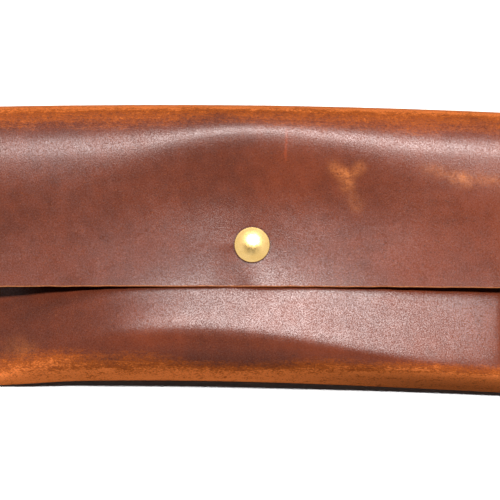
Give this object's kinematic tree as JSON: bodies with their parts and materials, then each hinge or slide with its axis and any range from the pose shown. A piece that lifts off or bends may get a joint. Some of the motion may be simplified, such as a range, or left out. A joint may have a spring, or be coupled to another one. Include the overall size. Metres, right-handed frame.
{
  "type": "leather flap case",
  "caption": "Soft leather flap case with a rolled top fold, sewn ends and one brass press stud, opening as a living hinge.",
  "frame": {"origin": "under the middle of the case, on the surface that it lies on", "axes": "+X along the case, +Y towards the rolled top fold, +Z out of the front, through the press stud"},
  "size_m": [0.165, 0.083, 0.0225],
  "materials": {
    "leather": "waxed pull-up, satin",
    "brass": "polished",
    "spring_wire": "drawn wire",
    "thread": "waxed thread"
  },
  "bodies": {
    "pouch": {"body_wrap": "leather", "stud": "brass", "stud_eyelet": "brass", "left_top_thread": "thread", "left_under_thread": "thread", "right_top_thread": "thread", "right_under_thread": "thread"},
    "fold_lower_body": {"fold_lower": "leather"},
    "fold_upper_body": {"fold_upper": "leather"},
    "flap_body": {"flap": "leather", "cap_shell": "brass", "cap_post": "brass", "socket": "brass", "socket_spring": "spring_wire"}
  },
  "joints": [
    {"name": "fold_first", "type": "hinge", "parent": "pouch", "child": "fold_lower_body", "pos_m": [0, 0.03587, 0.00151], "axis": [-1, 0, 0], "range_deg": [0, 60]},
    {"name": "fold_middle", "type": "hinge", "parent": "fold_lower_body", "child": "fold_upper_body", "pos_m": [0, 0.0415, 0.01125], "axis": [-1, 0, 0], "range_deg": [0, 60]},
    {"name": "fold_last", "type": "hinge", "parent": "fold_upper_body", "child": "flap_body", "pos_m": [0, 0.03587, 0.02099], "axis": [-1, 0, 0], "range_deg": [0, 60]}
  ],
  "couplings": [
    {"joint": "fold_middle", "follows": "fold_first", "ratio": 1},
    {"joint": "fold_last", "follows": "fold_first", "ratio": 1}
  ]
}
